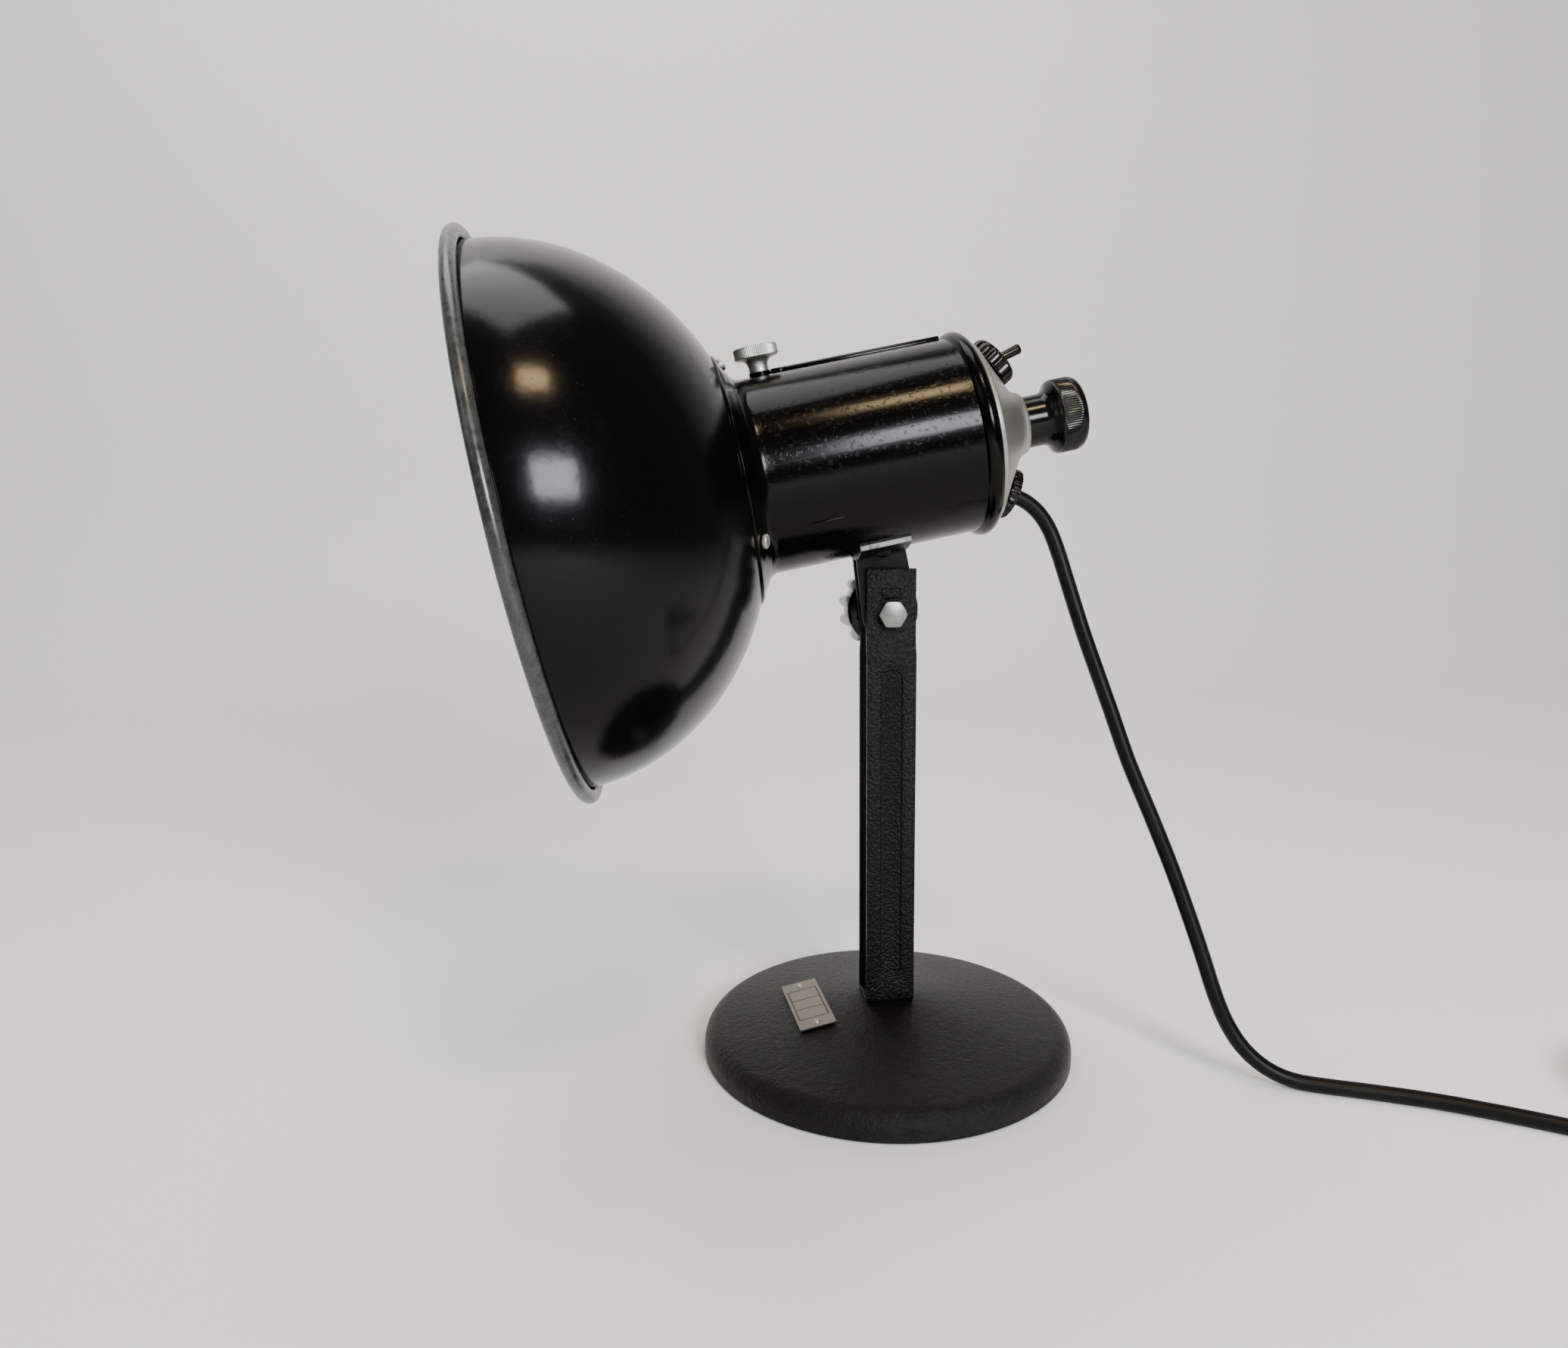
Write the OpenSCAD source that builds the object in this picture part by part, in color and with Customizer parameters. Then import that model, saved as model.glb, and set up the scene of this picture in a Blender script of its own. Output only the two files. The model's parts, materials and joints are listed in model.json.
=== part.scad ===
/* [Base] */
// Diameter of the cast base
base_d = 200; // [190:5:210]
// Height of the upright edge of the base
base_edge_h = 6; // [4:1:8]
// Radius that rounds the edge into the top
base_edge_r = 10; // [8:1:12]
// Height of the flat seat that carries the post
seat_h = 29; // [28:1:31]

/* [Post] */
// Height of the hinge bolt above the table
hinge_h = 241; // [235:1:260]
// Width of the steel strap
strap_w = 26; // [24:1:28]
// Thickness of the steel strap
strap_t = 2.5; // [2:0.5:3]
// Distance across the two legs
leg_span = 23; // [22.5:0.5:24]

/* [Head] */
// Angle that the lamp points down at rest
tilt = 11; // [6:1:14]
// Distance from the hinge bolt to the lamp's axis
axis_h = 81; // [80:1:86]
// Diameter of the housing tube
tube_d = 98; // [98:1:99]
// Diameter over the reflector's curled rim
rim_d = 283; // [276:1:290]
// Depth of the reflector from its neck to its rim
bowl_depth = 103; // [100:1:108]

/* [Fastenings] */
// Diameter of the hinge bolt
bolt_d = 8; // [6:1:8]
// Radial clearance of a running fit
fit = 0.05; // [0.03:0.01:0.08]

/* [Cord] */
// Diameter of the mains cord
cord_d = 8; // [7.5:0.5:8.5]

/* [Hidden] */
$fn = 96;

// thickness of thin sheet metal in the lamp head
sheet = 1.2;
tube_r = tube_d / 2;
rim_r = rim_d / 2;
bolt_r = bolt_d / 2;
// places along the lamp's axis, measured rearwards from the point above the hinge
neck_s = -65;
rim_s = neck_s - bowl_depth;
bead_s = 56;
bead_r = 4.6;
cap_front_s = 46;
cone_s = 63;
collar_s = 80;
collar_end_s = 86.5;
// radii of the rear cap's cone, its collar and the bore for the knob's sleeve
cone_r = 46.5;
collar_r = 19.4;
sleeve_r = 13.2;
// the cone's surface is square to this angle from the lamp's axis
cone_angle = atan((collar_s - cone_s) / (cone_r - collar_r));
// middle of the switch (above) and of the cord gland (below) on the cone
function port_s(side) = side > 0 ? 72.8 : 71.8;
function port_r(side) = cone_r - (port_s(side) - cone_s) / tan(cone_angle);
ring_r = 13;
// lock screw's place, and the slot that guides the lampholder
lock_s = -41.5;
slot_start_s = -35;
slot_end_s = 49;
// hinge stack, outwards from the middle
lug_out = 6;
washer_t = 0.9;
leg_top_in = 7;
leg_top_out = leg_top_in + strap_t;
joggle_h = hinge_h - 14;
leg_top_h = hinge_h + 23;
lug_r = 14.5;
knob_y = leg_top_out + 1;
// ellipse of the reflector's outside
bowl_a = bowl_depth * 1.131;
bowl_b = rim_r - 7.4;
neck_r = bowl_b * sqrt(1 - pow(bowl_depth / bowl_a, 2));
curl_r = 3.6;
// lampholder's front face
holder_s = -62;
cord_r = cord_d / 2;
// how far the gland stands out of the cone
gland_face = 5;

function arc(c, r, a0, a1, n) = [for (i = [0:n]) let (a = a0 + (a1 - a0) * i / n) c + r * [cos(a), sin(a)]];
function bowl_curve(a, b, d, n) =
    [for (i = [0:n]) let (s = d * i / n) [b * sqrt(1 - pow(s / a, 2)), rim_s + s]];

// places a child in the tilted head, with X along the lamp's axis
module in_head() {
    translate([0, 0, hinge_h]) rotate([0, -tilt, 0]) translate([0, 0, axis_h]) children();
}
// turns a profile of [radius, place along the axis] about the lamp's axis
module turned(points) {
    in_head() rotate([0, 90, 0]) rotate_extrude($fn = 128) polygon(points);
}
// round bar along the lamp's axis
module axis_bar(s0, s1, r) {
    in_head() translate([s0, 0, 0]) rotate([0, 90, 0]) cylinder(h = s1 - s0, r = r);
}
// a port on the cone: side 1 is above the axis, side -1 below; +Z points out of the cone
module at_port(side) {
    in_head() translate([port_s(side), 0, side * port_r(side)])
        rotate([0, 90 - side * cone_angle, 0]) children();
}
// bar along Y, centred on the hinge bolt
module hinge_bar(y0, y1, r) {
    translate([0, y1, hinge_h]) rotate([90, 0, 0]) cylinder(h = y1 - y0, r = r);
}
// ring with grip grooves cut round its edge
module fluted_ring(r, h, bore, count, groove_r) {
    difference() {
        rotate_extrude() polygon(concat([[bore, 0], [r - 0.8, 0], [r, 0.8]],
            arc([r - 2.6, h - 2.6], 2.6, 0, 90, 6), [[bore, h]]));
        for (i = [0:count - 1]) rotate([0, 0, i * 360 / count])
            translate([r + groove_r * 0.45, 0, -1]) cylinder(h = h - 1.2, r = groove_r, $fn = 16);
    }
}

// cast disc with a rounded edge, a shallow cone on top, and a hollow underside
module base() {
    color([0.06, 0.06, 0.06]) difference() {
        rotate_extrude($fn = 160) polygon(concat(
            [[0, 2], [base_d / 2 - 6, 2], [base_d / 2 - 6, 0.4], [base_d / 2 - 0.8, 0.4], [base_d / 2, 1.2]],
            arc([base_d / 2 - base_edge_r, base_edge_h], base_edge_r, 0, 78, 8),
            [[50, seat_h - 6.2], [24, seat_h - 1.4], [17, seat_h], [0, seat_h]]));
        rotate_extrude() polygon([[16, 1.9], [88, 1.9], [86, 8], [20, 17], [16, 17]]);
        translate([0, 0, 1.9]) cylinder(h = 8.1, r = 10);
        cylinder(h = seat_h + 1, r = 4.1);
        on_plate() for (y = [-22.6, 22.6]) translate([0, y, -6]) cylinder(h = 12, r = 1.05, $fn = 24);
    }
}
// disc of felt glued into the underside
module base_pad() {
    color([0.16, 0.2, 0.16]) cylinder(h = 2, r = base_d / 2 - 6.1);
}

// strap folded into a U, with its legs drawn together at the hinge
module strap_path(y0) {
    polygon([[y0, seat_h + 3], [y0, joggle_h - 8], [leg_top_out, joggle_h], [leg_top_out, leg_top_h],
        [leg_top_in, leg_top_h], [leg_top_in, joggle_h + 0.8], [y0 - strap_t, joggle_h - 7.2],
        [y0 - strap_t, seat_h + 3]]);
}
module post_strap() {
    half = leg_span / 2;
    groove_w = 11;
    groove_top = hinge_h - 29;
    groove_bottom = seat_h + 15;
    color([0.05, 0.05, 0.05]) difference() {
        union() {
            for (m = [0, 1]) mirror([0, m, 0])
                translate([-strap_w / 2, 0, 0]) rotate([90, 0, 90]) linear_extrude(strap_w) strap_path(half);
            for (m = [0, 1]) mirror([0, m, 0]) translate([0, half - 3, seat_h + 3]) rotate([0, 90, 0])
                translate([0, 0, -strap_w / 2]) intersection() {
                    difference() {
                        cylinder(h = strap_w, r = 3);
                        translate([0, 0, -1]) cylinder(h = strap_w + 2, r = 0.5);
                    }
                    translate([0, 0, -1]) cube([4, 4, strap_w + 2]);
                }
            translate([-strap_w / 2, -half + 3, seat_h]) cube([strap_w, leg_span - 6, strap_t]);
            // pressed key above the bolt
            translate([-5, -leg_top_out - 0.8, hinge_h + 8]) cube([10, 1, 5]);
        }
        for (m = [0, 1]) mirror([0, m, 0]) translate([0, half + 1, 0]) {
            for (z = [groove_bottom + groove_w / 2, groove_top - groove_w / 2])
                translate([0, 0, z]) rotate([90, 0, 0]) cylinder(h = 1.9, r = groove_w / 2);
            translate([-groove_w / 2, -1.9, groove_bottom + groove_w / 2])
                cube([groove_w, 1.9, groove_top - groove_bottom - groove_w]);
        }
        hinge_bar(-20, 20, bolt_r + fit);
        translate([0, 0, seat_h - 1]) cylinder(h = 10, r = 4.1);
    }
}
// bolt from the post into the hollow of the base
module post_bolt() {
    color([0.6, 0.6, 0.6]) {
        translate([0, 0, seat_h + strap_t + 1.5]) cylinder(h = 5.3, r = 7.5, $fn = 6);
        translate([0, 0, 2.6]) cylinder(h = seat_h + strap_t - 1.1, r = 4);
    }
}
module post_washer() {
    color([0.62, 0.62, 0.6]) {
        for (z = [seat_h + strap_t, 8.5]) translate([0, 0, z]) difference() {
            cylinder(h = 1.5, r = 8);
            translate([0, 0, -1]) cylinder(h = 4, r = 4.1);
        }
    }
}
module post_nut() {
    color([0.6, 0.6, 0.6]) translate([0, 0, 3]) difference() {
        cylinder(h = 5.5, r = 7.5, $fn = 6);
        translate([0, 0, -1]) cylinder(h = 8, r = 4.02);
    }
}

// rating plate: blank frames only, lying on the base's slope
nameplate_c = [-43, 3];
nameplate_turn = [0, -10.4, 4];
nameplate_z = 24.22;
module on_plate() {
    translate([nameplate_c[0], nameplate_c[1], nameplate_z]) rotate(nameplate_turn) children();
}
module nameplate() {
    color([0.45, 0.42, 0.38]) on_plate() difference() {
        translate([-10, -27, 0]) cube([20, 54, 0.9]);
        for (b = [[-8.5, -18, 4, 30], [-2, -18, 4, 14], [-2, 0, 4, 12], [4.5, -18, 4, 30]])
            translate([b[0], b[1], 0.7]) cube([b[2], b[3], 1]);
        for (y = [-22.6, 22.6]) translate([0, y, -1]) cylinder(h = 3, r = 1.1, $fn = 24);
    }
}
module nameplate_pins() {
    color([0.6, 0.57, 0.5]) on_plate() for (y = [-22.6, 22.6]) translate([0, y, 0]) {
        translate([0, 0, -5]) cylinder(h = 5.9, r = 1, $fn = 24);
        translate([0, 0, 0.9]) rotate_extrude($fn = 32)
            polygon(concat([[0, 0]], arc([0, -1], 2.1, 29, 90, 4)));
    }
}

// hinge: one bolt through both legs and both lugs
module hinge_bolt() {
    color([0.7, 0.7, 0.68]) {
        hinge_bar(-leg_top_out - 1, 27.5, bolt_r);
        translate([0, -leg_top_out, hinge_h]) rotate([90, 0, 0]) intersection() {
            cylinder(h = 5.3, r = 7.5, $fn = 6);
            rotate_extrude() polygon([[0, 0], [7.6, 0], [7.6, 4.7], [6.5, 5.3], [0, 5.3]]);
        }
    }
}
module friction_washers() {
    color([0.35, 0.18, 0.1]) for (m = [0, 1]) mirror([0, m, 0]) difference() {
        hinge_bar(lug_out + 0.05, lug_out + 0.05 + washer_t, 10);
        hinge_bar(0, 20, bolt_r + fit);
    }
}
module hinge_spacer() {
    color([0.5, 0.5, 0.5]) difference() {
        hinge_bar(-lug_out + 2, lug_out - 2, 7);
        hinge_bar(-20, 20, bolt_r + fit);
    }
}

// hand wheel that clamps the hinge, on the far side of the post
module clamp_disc() {
    color([0.03, 0.03, 0.03]) translate([0, knob_y, hinge_h]) rotate([-90, 0, 0]) rotate_extrude()
        polygon([[6.5, 0], [17.6, 0], [19, 1.4], [19, 3.6], [17.8, 5], [10, 5.5], [6.5, 5.5]]);
}
module clamp_wheel() {
    lobes = 12;
    color([0.72, 0.72, 0.7]) translate([0, knob_y + 5.6, hinge_h]) rotate([-90, 0, 0]) difference() {
        union() {
            cylinder(h = 9, r = 19);
            for (i = [0:lobes - 1]) rotate([0, 0, (i + 0.4) * 360 / lobes])
                translate([19, 0, 0]) cylinder(h = 9, r = 3, $fn = 32);
        }
        translate([0, 0, 7.5]) cylinder(h = 3, r = 13);
        translate([0, 0, -1]) cylinder(h = 12, r = 6.5);
    }
}
module clamp_bush() {
    color([0.75, 0.6, 0.3]) difference() {
        hinge_bar(leg_top_out + 0.4, knob_y + 15.5, 6.48);
        hinge_bar(0, 40, bolt_r + fit);
    }
}

// pressed bracket: a saddle under the tube and two lugs for the hinge
rivet_turns = [-16, 16];
module round_tube(a) {
    rotate([a, 0, 0]) translate([1, 0, -tube_r]) children();
}
module tilt_bracket() {
    saddle_half = 29;
    lug_top = axis_h - tube_r - 1;
    color([0.05, 0.05, 0.05]) difference() {
        union() {
            in_head() translate([-12, 0, 0]) rotate([0, 90, 0]) rotate([0, 0, -saddle_half])
                rotate_extrude(angle = 2 * saddle_half, $fn = 128) translate([tube_r, 0]) square([2, 26]);
            for (m = [0, 1]) mirror([0, m, 0]) translate([0, lug_out, hinge_h]) rotate([90, 0, 0]) {
                cylinder(h = 2, r = lug_r);
                rotate([0, 0, tilt]) linear_extrude(2)
                    polygon([[-lug_r, 0], [-12, lug_top], [14, lug_top], [lug_r, 0]]);
            }
        }
        hinge_bar(-20, 20, bolt_r + fit);
        in_head() for (a = rivet_turns) round_tube(a) translate([0, 0, -4]) cylinder(h = 8, r = 2);
    }
}
module bracket_rivets() {
    color([0.06, 0.06, 0.06]) in_head() for (a = rivet_turns) round_tube(a) {
        translate([0, 0, -2.2]) cylinder(h = 3.3, r = 1.98, $fn = 48);
        translate([0, 0, -2.02]) mirror([0, 0, 1]) rotate_extrude($fn = 48)
            polygon(concat([[0, 0]], arc([0, -1.5], 4, 22, 90, 5)));
    }
}

// spun tube with a flared front flange and a rolled bead at the rear
function bowl_s(r) = rim_s + bowl_a * sqrt(1 - pow(r / bowl_b, 2));
module housing_tube() {
    color([0.04, 0.04, 0.045]) difference() {
        turned(concat(
            [for (r = [49.5, 54, 58, neck_r]) [r, bowl_s(r) + 0.05]],
            [[neck_r + 0.2, bowl_s(neck_r) + 1.1], [58, bowl_s(58) + 1.4], [55, bowl_s(55) + 1.9],
                [52.2, -58], [50.3, -56.3], [tube_r, -53.5], [tube_r, bead_s - 4.2]],
            arc([tube_r - 1.8, bead_s], bead_r, -64, 90, 10),
            [[46.9, bead_s + bead_r], [46.9, bead_s + 2.8], [tube_r - sheet, bead_s + 2.8],
                [tube_r - sheet, bowl_s(49.5) + 1.4]]));
        in_head() translate([slot_start_s, -2.2, tube_r - 3]) cube([slot_end_s - slot_start_s, 4.4, 5]);
        in_head() translate([lock_s, 0, tube_r - 5]) cylinder(h = 8, r = 3 + fit);
        in_head() for (a = rivet_turns) round_tube(a) translate([0, 0, -2]) cylinder(h = 6, r = 2);
        for (k = [0:2]) at_neck_screw(k) translate([0, 0, -6]) cylinder(h = 12, r = 2.05);
    }
}
// raised channel that covers the guide slot
module guide_channel() {
    length = bead_s - 4.4 - slot_start_s;
    color([0.04, 0.04, 0.045]) difference() {
        in_head() translate([slot_start_s - 1, 0, 0]) rotate([90, 0, 90])
            linear_extrude(length) difference() {
                polygon([[-3.8, tube_r - 1], [-3.4, tube_r + 1.2], [-2.4, tube_r + 2.1],
                    [2.4, tube_r + 2.1], [3.4, tube_r + 1.2], [3.8, tube_r - 1]]);
                translate([-2.2, tube_r - 2]) square([4.4, 3.1]);
            }
        in_head() translate([-60, 0, 0]) rotate([0, 90, 0]) cylinder(h = 120, r = tube_r);
    }
}
// threaded seat of the lock screw
module screw_boss() {
    color([0.05, 0.05, 0.05]) difference() {
        in_head() translate([lock_s, 0, tube_r - 2]) cylinder(h = 3.6, r = 5.4);
        in_head() translate([-60, 0, 0]) rotate([0, 90, 0]) cylinder(h = 120, r = tube_r);
        in_head() translate([lock_s, 0, tube_r - 5]) cylinder(h = 12, r = 3 + fit);
    }
}

// bowl with a curled rim, open at the neck for the lampholder
bowl_open_r = 50;
module reflector() {
    steps = 28;
    inner_depth = (bowl_a - 1) * sqrt(1 - pow(bowl_open_r / (bowl_b - 1), 2));
    outer_depth = bowl_a * sqrt(1 - pow(bowl_open_r / bowl_b, 2));
    front = rim_s - curl_r;
    inner = bowl_curve(bowl_a - 1, bowl_b - 1, inner_depth, steps);
    color([0.03, 0.03, 0.035]) difference() {
        union() {
            turned(concat(
                [[rim_r - curl_r, front], [rim_r - curl_r, front + 1], [bowl_b, front + 1.4]],
                bowl_curve(bowl_a, bowl_b, outer_depth, steps),
                [for (i = [0:steps]) inner[steps - i]],
                [[bowl_b - 1, front + 1], [bowl_b - 0.3, front]]));
            in_head() translate([rim_s, 0, 0]) rotate([0, 90, 0])
                rotate_extrude($fn = 128) translate([rim_r - curl_r, 0]) circle(curl_r, $fn = 32);
        }
        for (k = [0:2]) at_neck_screw(k) translate([0, 0, -6]) cylinder(h = 12, r = 2.05);
    }
}
// three screws square to the flange
screw_seat_r = 57.4;
module at_neck_screw(k) {
    in_head() rotate([120 * k, 0, 0]) translate([bowl_s(screw_seat_r) + 1.5, 0, screw_seat_r])
        rotate([0, 64.5, 0]) children();
}
module reflector_screws() {
    color([0.7, 0.7, 0.68]) for (k = [0:2]) at_neck_screw(k) {
        difference() {
            translate([0, 0, 0.4]) rotate_extrude($fn = 48)
                polygon([[0, 0], [3.5, 0], [3.5, 1.6], [3, 2.3], [0, 2.6]]);
            translate([-0.5, -5, 1.8]) cube([1, 10, 3]);
        }
        translate([0, 0, -8]) cylinder(h = 8.6, r = 2, $fn = 32);
    }
}
module reflector_nuts() {
    color([0.7, 0.7, 0.68]) for (k = [0:2]) at_neck_screw(k) translate([0, 0, -6.2]) difference() {
        cylinder(h = 3.2, r = 4.04, $fn = 6);
        translate([0, 0, -1]) cylinder(h = 6, r = 2.02);
    }
}

// aluminium cone that closes the housing, with a collar for the knob's sleeve
module rear_cap() {
    color([0.62, 0.6, 0.56]) difference() {
        turned([[46.2, cap_front_s], [47.7, cap_front_s], [47.7, 58.6], [46.6, 58.6], [cone_r, cone_s - 0.4],
            [cone_r - 0.6, cone_s + 0.4], [25, 76.5], [21, 78.8], [18.2, 81], [16.6, 83.2], [16, 85.2],
            [15.4, collar_end_s - 0.3], [14.8, collar_end_s], [sleeve_r + fit, collar_end_s],
            [sleeve_r + fit, 76.5], [16.6, 76.5], [18.6, 78.4], [45.2, 61.8], [46.2, 58]]);
        for (side = [-1, 1]) at_port(side) translate([0, 0, -8]) cylinder(h = 12, r = side > 0 ? 6.05 : 7.05);
    }
}

// toggle switch: body behind the cone, threaded neck through it, ring nut in front
module switch_body() {
    color([0.08, 0.05, 0.04]) at_port(1) difference() {
        union() {
            translate([-7, -9, -19.6]) cube([14, 18, 16.95]);
            translate([0, 0, -4]) cylinder(h = 13.5, r = 6);
        }
        translate([0, 0, 0.5]) cylinder(h = 10, r = 4.8);
    }
}
module switch_ring() {
    color([0.07, 0.045, 0.04]) at_port(1) fluted_ring(ring_r, 8, 6.05, 14, 1.6);
}
lever_lean = 17.6;
lever_pivot_z = 4.6;
module toggle_lever() {
    color([0.06, 0.04, 0.04]) at_port(1) translate([0, 0, lever_pivot_z]) rotate([0, lever_lean, 0]) {
        sphere(r = 3.5);
        rotate([90, 0, 0]) translate([0, 0, -4.6]) cylinder(h = 9.2, r = 1.2);
        rotate_extrude() polygon([[0, 0], [2.6, 0], [2.4, 5], [2.7, 15], [2.2, 15.8], [0, 15.8]]);
    }
}

// cord entry on the lower side of the cone
module cord_gland() {
    color([0.05, 0.05, 0.05]) at_port(-1) difference() {
        union() {
            translate([0, 0, -6.15]) cylinder(h = 3.5, r = 9.5);
            translate([0, 0, -3]) cylinder(h = gland_face + 3, r = 7);
        }
        translate([0, 0, -8]) cylinder(h = 20, r = cord_r + 0.05);
    }
}
module gland_ring() {
    color([0.06, 0.05, 0.045]) at_port(-1) fluted_ring(ring_r, 5, 7.05, 22, 1.1);
}

// parts inside the rear of the housing
module terminal_block() {
    color([0.85, 0.82, 0.75]) in_head() intersection() {
        difference() {
            translate([38, -12, -48]) cube([16, 24, 14]);
            for (y = [-6, 6]) translate([42, y, -40]) cylinder(h = 10, r = 2);
            for (y = [-6, 6]) translate([49, y, -60]) cylinder(h = 40, r = 1.55);
        }
        translate([30, 0, 0]) rotate([0, 90, 0]) cylinder(h = 30, r = 46.15);
    }
}
module terminal_screws() {
    color([0.7, 0.68, 0.6]) in_head() {
        for (y = [-6, 6]) translate([42, y, -39.9]) cylinder(h = 4.5, r = 1.95);
        for (y = [-6, 6]) translate([49, y, -44]) cylinder(h = 11.5, r = 1.5);
        for (y = [-6, 6]) translate([49, y, -33.9]) cylinder(h = 2, r = 2.8);
    }
}
// sheathed end of the cord in the gland, and the wires to the block and the switch
module internal_leads() {
    color([0.3, 0.12, 0.08]) {
        at_port(-1) translate([0, 0, -10]) cylinder(h = gland_face + 10, r = cord_r);
        for (m = [-1, 1]) in_head() {
            swept([[64, 2 * m, -25.4], [60, 4 * m, -26.5], [54.5, 6 * m, -27.6], [51, 6.5 * m, -28.2],
                [44.6, 6.4 * m, -31], [43, 6.2 * m, -33.6]], 1.1, 8);
            swept([[40, 6.5 * m, -33.5], [38, 12 * m, -22], [40, 18 * m, -4], [46, 16 * m, 10],
                [55.5, 5 * m, 19.4]], 1.1, 8);
        }
    }
}

// knurled screw on top that locks the lampholder in its slot
module lock_screw() {
    color([0.7, 0.7, 0.66]) in_head() translate([lock_s, 0, 0]) difference() {
        rotate_extrude() polygon([[0, 47.8], [3, 47.8], [3, 50.75], [5, 50.75], [4.9, 53.4],
            [5.6, 55.6], [7.4, 57.1], [10.4, 57.7], [11, 58.2], [11, 62.6], [10.5, 63.2], [0, 63.2]]);
        for (i = [0:47]) rotate([0, 0, i * 7.5])
            translate([11.25, 0, 56]) cylinder(h = 10, r = 0.45, $fn = 8);
    }
}

// knob, sleeve and rod that push and pull the lampholder
module focus_knob() {
    color([0.04, 0.04, 0.04]) turned(concat(
        [[5.05, 60], [sleeve_r - 0.6, 60], [sleeve_r, 60.6], [sleeve_r, 97.4], [13.8, 99],
            [15.4, 100.9], [17.6, 102], [18.5, 103], [18.8, 104], [18.8, 112.6]],
        arc([14.9, 113.2], 3.9, 8, 80, 6), [[0, 118], [0, 112], [5.05, 112]]));
}
module focus_rod() {
    color([0.65, 0.65, 0.65]) axis_bar(-13, 111.9, 5);
}
module knob_nut() {
    color([0.65, 0.65, 0.65]) difference() {
        in_head() translate([53.4, 0, 0]) rotate([0, 90, 0]) cylinder(h = 6.4, r = 9, $fn = 6);
        axis_bar(50, 62, 5.02);
    }
}
// sheet-metal carrier that slides in the housing
module socket_carriage() {
    carrier_r = tube_r - sheet - 0.4;
    color([0.6, 0.6, 0.6]) difference() {
        turned([[5.05, -13], [carrier_r - 1, -13], [carrier_r - 1, -50], [carrier_r, -50],
            [carrier_r, -12], [5.05, -12]]);
        in_head() for (a = [30:60:330]) rotate([a, 0, 0])
            translate([-20, 0, 33]) rotate([0, 90, 0]) cylinder(h = 12, r = 7);
    }
}
module guide_key() {
    color([0.6, 0.6, 0.6]) difference() {
        in_head() translate([-24, -1.8, 46.5]) cube([12, 3.6, 3.2]);
        axis_bar(-30, 0, tube_r - sheet - 0.4);
    }
}
module lampholder() {
    color([0.88, 0.86, 0.8]) turned([[0, -33], [14.35, -33], [14.35, holder_s + 1], [15.4, holder_s],
        [19, holder_s], [20, holder_s + 1], [20, -30], [17.5, -26], [17.5, -13.05], [0, -13.05]]);
}
module screw_shell() {
    color([0.75, 0.6, 0.3]) turned([[13.4, -60], [14.3, -60], [14.3, -34.5], [13.4, -34.5]]);
}
module centre_contact() {
    color([0.75, 0.6, 0.3]) axis_bar(-36, -33, 5);
}
module bulb_cap() {
    color([0.7, 0.68, 0.6]) turned([[0, -36.1], [4.5, -36.1], [6, -38], [12.6, -40], [13.1, -41],
        [13.1, holder_s], [0, holder_s]]);
}
module bulb_glass() {
    color([0.95, 0.94, 0.9]) turned(concat([[0, holder_s], [13.6, holder_s], [14.2, -66], [16.4, -74]],
        arc([0, -112], 37, 52, -90, 22)));
}

// free cord: route on hand-set points, from the gland down to the table and on to the coil
function head_point(s, r) = [s * cos(tilt) - (axis_h + r) * sin(tilt), 0,
    hinge_h + s * sin(tilt) + (axis_h + r) * cos(tilt)];
cord_exit = head_point(port_s(-1) + gland_face * cos(cone_angle), -port_r(-1) - gland_face * sin(cone_angle));
exit_dir = [cos(cone_angle - tilt), 0, -sin(cone_angle - tilt)];
cord_route = [[72.1, 0, 297.7], [76, 0, 295.1], [79.5, -0.2, 291.9], [82.5, -0.5, 288.2],
    [85, -0.9, 284.2], [87.1, -1.4, 279.9], [90.3, -2.7, 271], [94.2, -4.7, 258], [98.3, -7, 244],
    [103, -10, 228], [109, -13, 210], [116, -18, 188], [124, -24, 162], [134, -31, 135],
    [144, -38, 107], [152, -46, 80], [157, -52, 61], [161, -57, 45], [166, -61, 31],
    [173, -66, 19], [183, -71, 10], [195, -76, 5], [209, -82, 4], [230, -91, 4], [255, -103, 4],
    [280, -118, 4], [305, -135, 4], [330, -153, 4], [355, -168, 4], [374, -177, 4], [390, -180, 4]];
coil_c = [390, -130];
coil_r = 46;
tail_route = [[440, -128, 12], [440.5, -116, 11], [441.5, -104, 9], [443, -92, 7.4],
    [444, -82, 7], [444.5, -74, 7]];

function unit(v) = v / norm(v);
function tangent(p, i) = unit(p[min(i + 1, len(p) - 1)] - p[max(i - 1, 0)]);
function side(t) = unit(cross(t, abs(t[1]) > 0.9 ? [1, 0, 0] : [0, 1, 0]));
// one tube swept along points, with n sides
module swept(p, r, n) {
    rings = [for (i = [0:len(p) - 1]) let (t = tangent(p, i), u = side(t), v = cross(t, u))
        for (k = [0:n - 1]) p[i] + r * (cos(360 * k / n) * u + sin(360 * k / n) * v)];
    last = (len(p) - 1) * n;
    polyhedron(rings, concat(
        [[for (k = [0:n - 1]) k]],
        [for (i = [0:len(p) - 2]) for (k = [0:n - 1])
            let (a = i * n + k, b = i * n + (k + 1) % n) each [[a, a + n, b + n], [a, b + n, b]]],
        [[for (k = [n - 1:-1:0]) last + k]]));
}
module cord() {
    color([0.05, 0.05, 0.05]) swept(concat([cord_exit, cord_exit + 1.5 * exit_dir], cord_route), cord_r, 10);
}
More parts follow.
